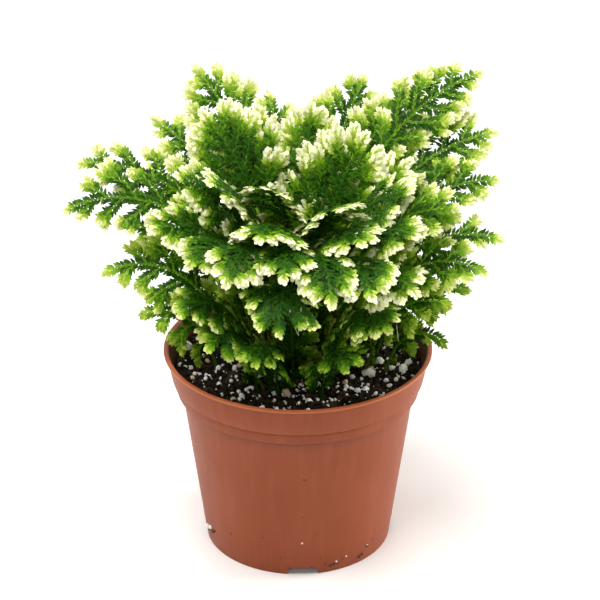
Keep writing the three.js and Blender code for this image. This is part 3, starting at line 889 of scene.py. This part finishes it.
def rounded(profile):
    """A closed profile of [radius, height, rounding] corners as points, each corner an arc-like curve."""
    corners = np.array(profile, float)[:, :2]
    points = []
    for index, (here, (_, _, rounding)) in enumerate(zip(corners, profile)):
        before, after = corners[index - 1], corners[index + 1 - len(corners)]
        if rounding == 0:
            points.append(here)
            continue
        start = here + (before - here) * min(0.45, rounding / np.linalg.norm(before - here))
        end = here + (after - here) * min(0.45, rounding / np.linalg.norm(after - here))
        for share in np.linspace(0, 1, 6):
            points.append((1 - share) ** 2 * start + 2 * share * (1 - share) * here + share**2 * end)
    return points


def lathe(name, profile, sides):
    """A closed profile off the axis, or one that starts and ends on it, turned about Z."""
    angles = [2 * math.pi * side / sides for side in range(sides)]
    points = []
    rows = []
    for radius, height in profile:
        first = len(points)
        if radius < 1e-6:
            rows.append([first] * sides)
            points.append((0, 0, height))
        else:
            rows.append(range(first, first + sides))
            points += [(radius * math.cos(angle), radius * math.sin(angle), height) for angle in angles]
    faces = []
    for low, high in itertools.pairwise(rows):
        for side in range(sides):
            after = (side + 1) % sides
            faces.append(list(dict.fromkeys((low[side], low[after], high[after], high[side]))))
    return mesh_object(name, points, faces)


def block(name, outline, depth):
    """A prism: an outline of [x, z] points, drawn out along -Y from 0 to depth."""
    count = len(outline)
    points = [(x, y, z) for y in (0, -depth) for x, z in outline]
    faces = [tuple(range(count - 1, -1, -1)), tuple(range(count, 2 * count))]
    faces += [(i, (i + 1) % count, count + (i + 1) % count, count + i) for i in range(count)]
    return mesh_object(name, points, faces)


def arc(x, z, radius, start, end, steps=5):
    """Points round x, z, by the angles of the first and the last in quarters of a turn."""
    angles = np.linspace(start, end, steps + 1) * math.pi / 2
    return [(x + radius * math.cos(angle), z + radius * math.sin(angle)) for angle in angles]


def notch_outline():
    """A notch that is flared at the foot, from its lower left corner round to the right."""
    half = NOTCH_WIDTH / 2
    side, top = half - NOTCH_CORNER, NOTCH_HEIGHT - NOTCH_CORNER
    return [
        (-half - NOTCH_FLARE, -3),
        (half + NOTCH_FLARE, -3),
        *arc(half + NOTCH_FLARE, NOTCH_FLARE, NOTCH_FLARE, -1, -2),
        *arc(side, top, NOTCH_CORNER, 0, 1),
        *arc(-side, top, NOTCH_CORNER, 1, 2),
        *arc(-half - NOTCH_FLARE, NOTCH_FLARE, NOTCH_FLARE, 0, -1),
    ]


def cut_away(thing, cutters):
    """Cuts the cutters' shapes out of a thing for good, and removes them."""
    for cutter in cutters:
        modifier = thing.modifiers.new("cut", "BOOLEAN")
        modifier.operation = "DIFFERENCE"
        modifier.solver = "EXACT"
        modifier.object = cutter
    graph = bpy.context.evaluated_depsgraph_get()
    mesh = bpy.data.meshes.new_from_object(thing.evaluated_get(graph))
    thing.modifiers.clear()
    thing.data = mesh
    for cutter in cutters:
        bpy.data.objects.remove(cutter)


def pot_profile():
    """The pot's cross-section: from the middle of its foot up the outside and down the inside."""
    return rounded([
        (0, 0, 0),
        (SEAT_RADIUS, 0, 0.6),
        (SEAT_RADIUS + 2, GUTTER_HEIGHT, 0.6),
        (body_radius(GUTTER_HEIGHT) - WALL, GUTTER_HEIGHT, 0.6),
        (FOOT_RADIUS - WALL, 0, 0.4),
        (FOOT_RADIUS, 0, 0.5),
        (body_radius(MOULD_LINE - 0.2), MOULD_LINE - 0.2, 0.05),
        (body_radius(MOULD_LINE) + 0.1, MOULD_LINE, 0.05),
        (body_radius(MOULD_LINE + 0.2), MOULD_LINE + 0.2, 0.05),
        (body_radius(BAND_FOOT - 5), BAND_FOOT - 5, 0),
        (body_radius(BAND_FOOT - 2.4), BAND_FOOT - 2.4, 0),
        (BODY_RADIUS - 0.1, BAND_FOOT - 1, 0.4),
        (BODY_RADIUS - 0.55, BAND_FOOT - 0.1, 0.2),
        (BAND_RADIUS - 0.2, BAND_FOOT + 0.5, 0.35),
        (BAND_RADIUS, COLLAR_FOOT - 1.1, 0.4),
        (BAND_RADIUS - 0.5, COLLAR_FOOT - 0.4, 0.2),
        (COLLAR_FOOT_RADIUS, COLLAR_FOOT + 0.1, 0.35),
        (COLLAR_FOOT_RADIUS + 0.9, COLLAR_FOOT + 4, 1.5),
        (COLLAR_RADIUS - 0.2, POT_HEIGHT - 3.6, 0),
        (COLLAR_RADIUS, POT_HEIGHT - 1.7, 0.4),
        (RIM_RADIUS + 0.1, POT_HEIGHT - 1.1, 0.3),
        (RIM_RADIUS + 0.1, POT_HEIGHT, 0.5),
        (COLLAR_RADIUS - 0.2, POT_HEIGHT, 0.7),
        (COLLAR_RADIUS - WALL, POT_HEIGHT - 2, 0.8),
        (BAND_RADIUS - WALL + 0.3, COLLAR_FOOT - 0.6, 0.8),
        (BODY_RADIUS - WALL, BAND_FOOT - 1, 0.8),
        (body_radius(FLOOR_TOP) - WALL, FLOOR_TOP, 0.8),
        (SEAT_RADIUS + 1, FLOOR_TOP, 0.8),
        (SEAT_RADIUS - 1, WALL, 0.8),
        (0, WALL, 0),
    ])


def cutter(name, outline, depth, radius, turn, height=0, tilt=0):
    """A block to cut with, at a place round the pot that is given by its angle from the front."""
    thing = block(name, outline, depth)
    thing.location = (radius * math.sin(turn) * MM, -radius * math.cos(turn) * MM, height * MM)
    thing.rotation_euler = (tilt, 0, turn)
    return thing


def pot_cutters():
    """The notches in the foot ring, and the drain holes in line with them."""
    hole = arc(0, 0, DRAIN_RADIUS, 0, 4, 32)[:-1]
    cutters = []
    for index in range(NOTCH_COUNT):
        turn = NOTCH_TURN + 2 * math.pi * index / NOTCH_COUNT
        cutters += [
            cutter("notch", notch_outline(), 0.3 * FOOT_RADIUS, 0.8 * FOOT_RADIUS, turn),
            cutter("drain", hole, 10, DRAIN_RING_RADIUS, turn, height=10, tilt=math.pi / 2),
        ]
    return cutters


def mark_pot(mesh):
    """Marks painted shade on the stepped inner wall above the band's foot and below the wall's edges, and a
    painted highlight on the lip.
    """
    x, y, z = points_of(mesh).T
    out = np.hypot(x, y)
    slope = (COLLAR_RADIUS - COLLAR_FOOT_RADIUS) / (POT_HEIGHT - 2 - COLLAR_FOOT)
    collar = COLLAR_FOOT_RADIUS + slope * (z - COLLAR_FOOT)
    outside = np.where(z > COLLAR_FOOT + 0.3, collar, BAND_RADIUS - 0.2)
    # Painted shade: full on the inner wall above the band's foot, and fading down below the band, the collar
    # and the lip.
    painted_shade = smooth((outside - 0.5 - out) / 0.5) * (z > BAND_FOOT)
    edges = ((BAND_FOOT, 5.0, 0.5), (COLLAR_FOOT, 1.4, 0.4), (POT_HEIGHT - 1.4, 2.2, 0.4))
    for foot, depth, amount in edges:
        below = foot + 0.2 - z
        painted_shade = np.maximum(painted_shade, amount * smooth(1 - below / depth) * (below > 0))
    # Painted highlight on the lip's outer edge.
    lip_highlight = (z > POT_HEIGHT - 1.3) * (out > COLLAR_RADIUS - 0.5)
    for key, values in (("painted_shade", painted_shade), ("lip_highlight", lip_highlight)):
        layer = mesh.attributes.new(key, "FLOAT", "POINT")
        layer.data.foreach_set("value", values.astype(np.float32))


def make_pot():
    pot = lathe("moulded_pot", pot_profile(), POT_SIDES)
    cut_away(pot, pot_cutters())
    mesh = pot.data
    mesh.shade_smooth()
    mesh.set_sharp_from_angle(angle=SHARP_ANGLE)
    mesh.materials.clear()
    mesh.materials.append(TERRACOTTA)
    mark_pot(mesh)
    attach(pot, "root")
    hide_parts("pot")


make_pot()

# ---------- the soil

SOIL_MOUND = 1.5
SOIL_RINGS, RING_POWER, SOIL_ROUGHNESS = 61, 0.85, 0.16
SOIL_GAP = 0.3  # from the pot
SOIL_EDGE = COLLAR_FOOT_RADIUS - WALL - SOIL_GAP + 0.2


def soil_height(radius):
    return POT_HEIGHT - SOIL_DEPTH + SOIL_MOUND * (1 - (radius / RIM_RADIUS) ** 2)


def lumps(x, y):
    """The soft unevenness of the soil's surface."""
    return (
        0.45 * np.sin(0.21 * x + 1.3) * np.cos(0.18 * y + 0.4)
        + 0.35 * np.sin(0.47 * x - 0.31 * y + 2.0)
        + 0.25 * np.sin(0.83 * y + 0.52 * x)
    )


def away_from_edge(radius):
    """From 0 at the soil's edge to 1 a little way in."""
    return smooth((SOIL_EDGE - radius) / 3)


def make_soil():
    """The body of the soil, with an uneven top. The loose crumbs and grains lie on it."""
    inset = WALL + SOIL_GAP
    below = [
        (BAND_RADIUS - inset, COLLAR_FOOT),
        (body_radius(BAND_FOOT - 1) - inset - 0.2, BAND_FOOT - 1),
        (body_radius(FLOOR_TOP + SOIL_GAP) - inset, FLOOR_TOP + SOIL_GAP),
        (SEAT_RADIUS + 1 - SOIL_GAP, FLOOR_TOP + SOIL_GAP),
        (SEAT_RADIUS - 1 - SOIL_GAP, inset),
        (0, inset),
    ]
    rings = np.linspace(0, 1, SOIL_RINGS) ** RING_POWER * SOIL_EDGE
    top = [(radius, soil_height(radius)) for radius in rings]
    soil = lathe("potting_soil", (top + below)[::-1], SOIL_SIDES)
    mesh = soil.data
    points = points_of(mesh)
    x, y, z = points.T
    on_top = z > POT_HEIGHT - SOIL_DEPTH - 0.5
    rough = np.random.default_rng(5).normal(0, SOIL_ROUGHNESS, len(x))
    z += on_top * (lumps(x, y) + rough) * away_from_edge(np.hypot(x, y))
    mesh.vertices.foreach_set("co", (points * MM).ravel())
    mesh.update()
    mesh.shade_smooth()
    mesh.materials.append(SOIL)
    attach(soil, "root")
    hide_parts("soil")


GOLDEN = (1 + math.sqrt(5)) / 2
BALL = unit(np.array([
    np.roll((side, end, 0), turn) for turn in range(3) for end in (GOLDEN, -GOLDEN) for side in (-1, 1)
]))
BALL_FACES = np.array([
    (0, 11, 5), (0, 5, 1), (0, 1, 7), (0, 7, 10), (0, 10, 11), (1, 5, 9), (5, 11, 4), (11, 10, 2),
    (10, 7, 6), (7, 1, 8), (3, 9, 4), (3, 4, 2), (3, 2, 6), (3, 6, 8), (3, 8, 9), (4, 9, 5),
    (2, 4, 11), (6, 2, 10), (8, 6, 7), (9, 8, 1),
])


def finer(points, faces):
    """The same ball with each triangle split into four."""
    points = list(points)
    known = {}

    def middle(*ends):
        key = tuple(sorted(ends))
        if key not in known:
            known[key] = len(points)
            points.append(unit((points[ends[0]] + points[ends[1]]) / 2))
        return known[key]

    split = []
    for a, b, c in faces:
        ab, bc, ca = middle(a, b), middle(b, c), middle(c, a)
        split += [(a, ab, ca), (b, bc, ab), (c, ca, bc), (ab, bc, ca)]
    return np.array(points), np.array(split)


def turns(random, count):
    """Random rotation matrices, from quaternions."""
    q = unit(random.normal(size=(count, 4)))
    cross = np.cross(np.eye(3), q[:, None, 1:])
    return np.eye(3) + 2 * q[:, :1, None] * cross + 2 * cross @ cross


def grains(name, material, places, size, random, stretch=0.3, ragged=0.14, split=1):
    """Makes one piece of loose grains, each a dented, stretched and turned ball."""
    points, faces = BALL, BALL_FACES
    for _ in range(split):
        points, faces = finer(points, faces)
    count = len(size)
    shape = points[None] * (1 + random.normal(0, ragged, (count, len(points), 1)))
    shape = shape * (1 + random.uniform(-stretch, stretch, (count, 1, 3)))
    shape = np.einsum("nij,nkj->nki", turns(random, count), shape) * size[:, None, None]
    heap = Heap()
    marks = np.repeat(random.random((count, 1, 3)), len(points), axis=1)
    heap.add(shape + places[:, None], faces, marks, ball_corners(points, faces))
    heap.piece(name, material, "potting_soil")


def scatter(name, material, count, sizes, sink, seed, spots=(), **settings):
    """Grains on the soil: so many at random, mostly of the smaller sizes, and those at the spots."""
    random = np.random.default_rng(seed)
    size = sizes[0] + (sizes[1] - sizes[0]) * random.random(count) ** 2.4
    radius = (SOIL_EDGE - 0.3 - size) * np.sqrt(random.random(count))
    turn = random.uniform(0, 2 * math.pi, count)
    drawn = np.stack([radius * np.cos(turn), radius * np.sin(turn), size], -1)
    x, y, size = np.concatenate([drawn, np.reshape(spots, (-1, 3))]).T
    radius = np.hypot(x, y)
    z = soil_height(radius) + lumps(x, y) * away_from_edge(radius) + size * sink
    grains(name, material, np.stack([x, y, z], -1), size, random, **settings)


def stick(name, material, spots, seed):
    """Grains that stick to the pot's wall, by their angle from the front, their height and their size."""
    angle, height, size = np.array(spots).T
    turn, radius = np.radians(angle), body_radius(height) + size * 0.2
    places = np.stack([radius * np.sin(turn), -radius * np.cos(turn), height], -1)
    grains(name, material, places, size, np.random.default_rng(seed), ragged=0.22)


def ball_corners(points, faces):
    """A place in the map for each triangle of a ball: side by side, in a square."""
    across = math.ceil(math.sqrt(len(faces)))
    corner = np.stack([np.arange(len(faces)) % across, np.arange(len(faces)) // across], -1)[:, None]
    return (corner + np.array([(0.08, 0.08), (0.9, 0.08), (0.08, 0.9)])[None]) / across


# The larger grains: where each lies on the soil (x, y) and its radius.
PERLITE_SPOTS = [
    (-9.1, -21.3, 2.6), (1.4, -24.8, 1.5), (8.9, -25.1, 1.1), (12.0, -20.1, 1.1), (3.5, -14.7, 1.0),
    (-22.9, -22.4, 1.3), (-34.7, -23.7, 1.3), (-24.5, -35.4, 1.2), (-10.7, -31.2, 1.0), (-3.0, -39.9, 0.9),
    (4.7, -39.9, 1.3), (14.7, -37.8, 0.8), (17.5, -31.2, 0.9), (21.2, -27.0, 0.9), (26.1, -29.8, 1.3),
    (29.6, -28.4, 1.9), (34.0, -31.7, 1.0), (31.2, -14.7, 2.4), (23.9, -16.6, 1.2), (36.7, -4.1, 1.8),
    (42.0, -7.6, 1.2), (46.8, -10.0, 1.9), (43.3, -19.4, 1.1), (46.7, -18.2, 1.0), (38.9, -20.1, 1.0),
    (49.5, -2.5, 1.4), (-16.5, -18.2, 1.0), (-40.8, -19.4, 1.0), (-35.4, -8.8, 1.2), (-45.0, 2.3, 1.4),
    (-42.9, 11.7, 1.6), (-50.3, 11.7, 2.2), (-47.7, -8.1, 1.1), (-28.7, -31.2, 0.7), (27.4, -35.4, 0.7),
    (-30.0, -14.7, 0.8), (-20.0, 44.0, 1.9), (12.0, 47.0, 1.4), (33.0, 38.0, 2.2), (-38.0, 31.0, 1.7),
    (47.0, 18.0, 1.6), (2.0, 38.0, 1.2), (24.0, 45.0, 1.0), (-9.0, 50.0, 1.1), (-30.0, 38.0, 1.0),
]
PEBBLE_SPOTS = [
    (-4.9, -33.1, 2.1), (-25.3, -7.2, 1.8), (32.3, -10.9, 1.3), (-46.8, -17.5, 1.5), (20.8, -22.2, 1.2),
    (40.0, 28.0, 1.8), (-14.0, 47.0, 1.5),
]
make_soil()
scatter("soil_crumbs", SOIL, 2300, (0.30, 1.7), 0.15, seed=11, ragged=0.24)
scatter("perlite_grains", PERLITE, 820, (0.28, 1.0), 0.55, seed=12, stretch=0.2, ragged=0.09)
scatter("perlite_lumps", PERLITE, 0, (1, 1), 0.45, seed=13, spots=PERLITE_SPOTS, ragged=0.08, split=2)
scatter("tan_pebbles", PEBBLE, 6, (0.8, 1.3), 0.45, seed=14, spots=PEBBLE_SPOTS, ragged=0.06, split=2)

# Specks of soil and perlite on the pot's wall: angle, height and radius.
stick("crumbs_on_pot", CRUMB, [
    (-7.9, 46.4, 0.28), (-42.9, 15.6, 0.32), (-20.9, 19.1, 0.35), (-10.3, 9.0, 0.32), (40.2, 3.3, 0.75),
    (42.5, 4.0, 0.60), (46.0, 7.4, 0.60), (23.9, 4.1, 0.65), (16.9, 4.8, 0.55), (13.6, 8.7, 0.32),
    (20.6, 3.2, 0.70), (22.2, 3.9, 0.45), (28.0, 5.6, 0.38), (51.9, 9.1, 0.35), (-67.5, 8.4, 0.85),
    (-63.0, 8.8, 0.70), (-60.5, 10.2, 0.55), (140.0, 12.0, 0.5), (-118.0, 7.0, 0.45),
], seed=15)
stick("grains_on_pot", PERLITE, [
    (2.3, 18.0, 0.38), (30.3, 6.6, 0.38), (46.4, 8.0, 0.32), (23.6, 5.2, 0.36), (-66.0, 9.9, 0.75),
    (-71.5, 8.2, 1.10), (-73.5, 7.0, 0.80),
], seed=16)

# ---------- floor, light and world

FLOOR = 6000.0  # from the pot to the floor's edges
LIGHT_COLOUR = (1.0, 0.975, 0.93)


def plain_material(name, colour, roughness):
    shader = Shader(name)
    shader.set(Base_Color=colour, Roughness=roughness)
    return shader.material


def make_floor():
    corners = [(-FLOOR, -FLOOR, 0), (FLOOR, -FLOOR, 0), (FLOOR, FLOOR, 0), (-FLOOR, FLOOR, 0)]
    floor = mesh_object("floor", corners, [(0, 1, 2, 3)])
    floor.data.materials.append(plain_material("floor", (0.97, 0.97, 0.97), 0.6))


def softbox(name, place, aim, size, power):
    """A rectangular light, in metres and watts."""
    data = bpy.data.lights.new(name, "AREA")
    data.shape = "RECTANGLE"
    data.size, data.size_y = size
    data.energy = power
    data.color = LIGHT_COLOUR
    light = add_object(name, data)
    light.location = place
    direction = np.array(aim) - np.array(place)
    flat = math.hypot(direction[0], direction[1])
    light.rotation_euler = (math.atan2(flat, -direction[2]), 0, math.atan2(-direction[0], direction[1]))


def make_light():
    """The lights, and a world that the camera sees white and that lights the scene more softly."""
    world = bpy.data.worlds.new("world")
    world.use_nodes = True
    tree = world.node_tree
    background = tree.nodes["Background"]
    background.inputs["Color"].default_value = (1.0, 1.0, 1.0, 1)
    backdrop = tree.nodes.new("ShaderNodeMapRange")
    backdrop.inputs["To Min"].default_value = 0.25
    backdrop.inputs["To Max"].default_value = 1.0
    seen = tree.nodes.new("ShaderNodeLightPath").outputs["Is Camera Ray"]
    tree.links.new(seen, backdrop.inputs["Value"])
    tree.links.new(backdrop.outputs[0], background.inputs["Strength"])
    bpy.context.scene.world = world
    softbox("key", (-0.35, -0.35, 1.9), (0, 0, 0.12), (1.2, 1.2), 38)
    softbox("front", (-0.1, -1.5, 1.0), (0, -0.03, 0.09), (0.5, 0.3), 5)
    softbox("back", (0.1, 1.6, 1.05), (0, 0, 0.12), (1.6, 0.6), 9)
    softbox("left", (-1.5, 0.45, 0.5), (0, 0, 0.08), (0.8, 1.0), 11)
    softbox("right", (1.5, 0.35, 0.5), (0, 0, 0.08), (0.8, 1.0), 28)


make_floor()
make_light()
bpy.context.scene.view_settings.view_transform = "Standard"
